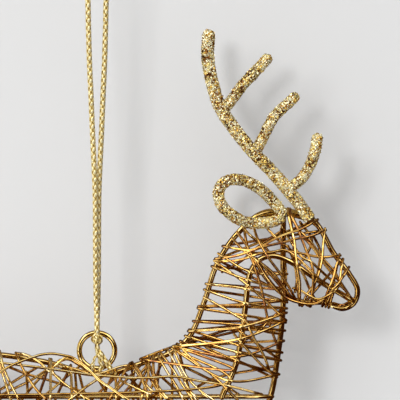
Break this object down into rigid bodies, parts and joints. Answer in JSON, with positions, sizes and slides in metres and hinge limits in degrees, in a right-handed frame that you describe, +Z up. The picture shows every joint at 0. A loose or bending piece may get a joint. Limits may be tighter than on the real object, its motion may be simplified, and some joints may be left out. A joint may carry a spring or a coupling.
{
  "type": "wire reindeer ornament",
  "caption": "Hanging standing reindeer of wire-wound gold rods, with glitter antlers and ears and a braided cord loop through a ring on its back.",
  "frame": {"origin": "top of the hanging cord's loop, where it rests over a hook or branch", "axes": "+Z up along the cord, +X the way the deer faces, +Y to the deer's left"},
  "size_m": [0.1166, 0.0274, 0.1743],
  "materials": {
    "frame_rod": "polished gold-coloured rod with brown shadows",
    "winding_wire": "bright gold-coloured wire",
    "ring": "polished gold-coloured ring",
    "glitter": "coarse champagne glitter coat",
    "braided_cord": "braided metallic thread"
  },
  "bodies": {
    "root": {"wire_frame": "frame_rod", "body_winding": "winding_wire", "neck_winding": "winding_wire", "head_winding": "winding_wire", "foreleg_left": "frame_rod", "foreleg_right": "frame_rod", "hindleg_left": "frame_rod", "hindleg_right": "frame_rod", "foreleg_winding_left": "winding_wire", "foreleg_winding_right": "winding_wire", "hindleg_winding_left": "winding_wire", "hindleg_winding_right": "winding_wire", "antler_left": "glitter", "antler_right": "glitter", "ear_left": "glitter", "ear_right": "glitter", "hanging_ring": "ring", "hanging_cord": "braided_cord", "cord_knot": "braided_cord"}
  },
  "joints": []
}
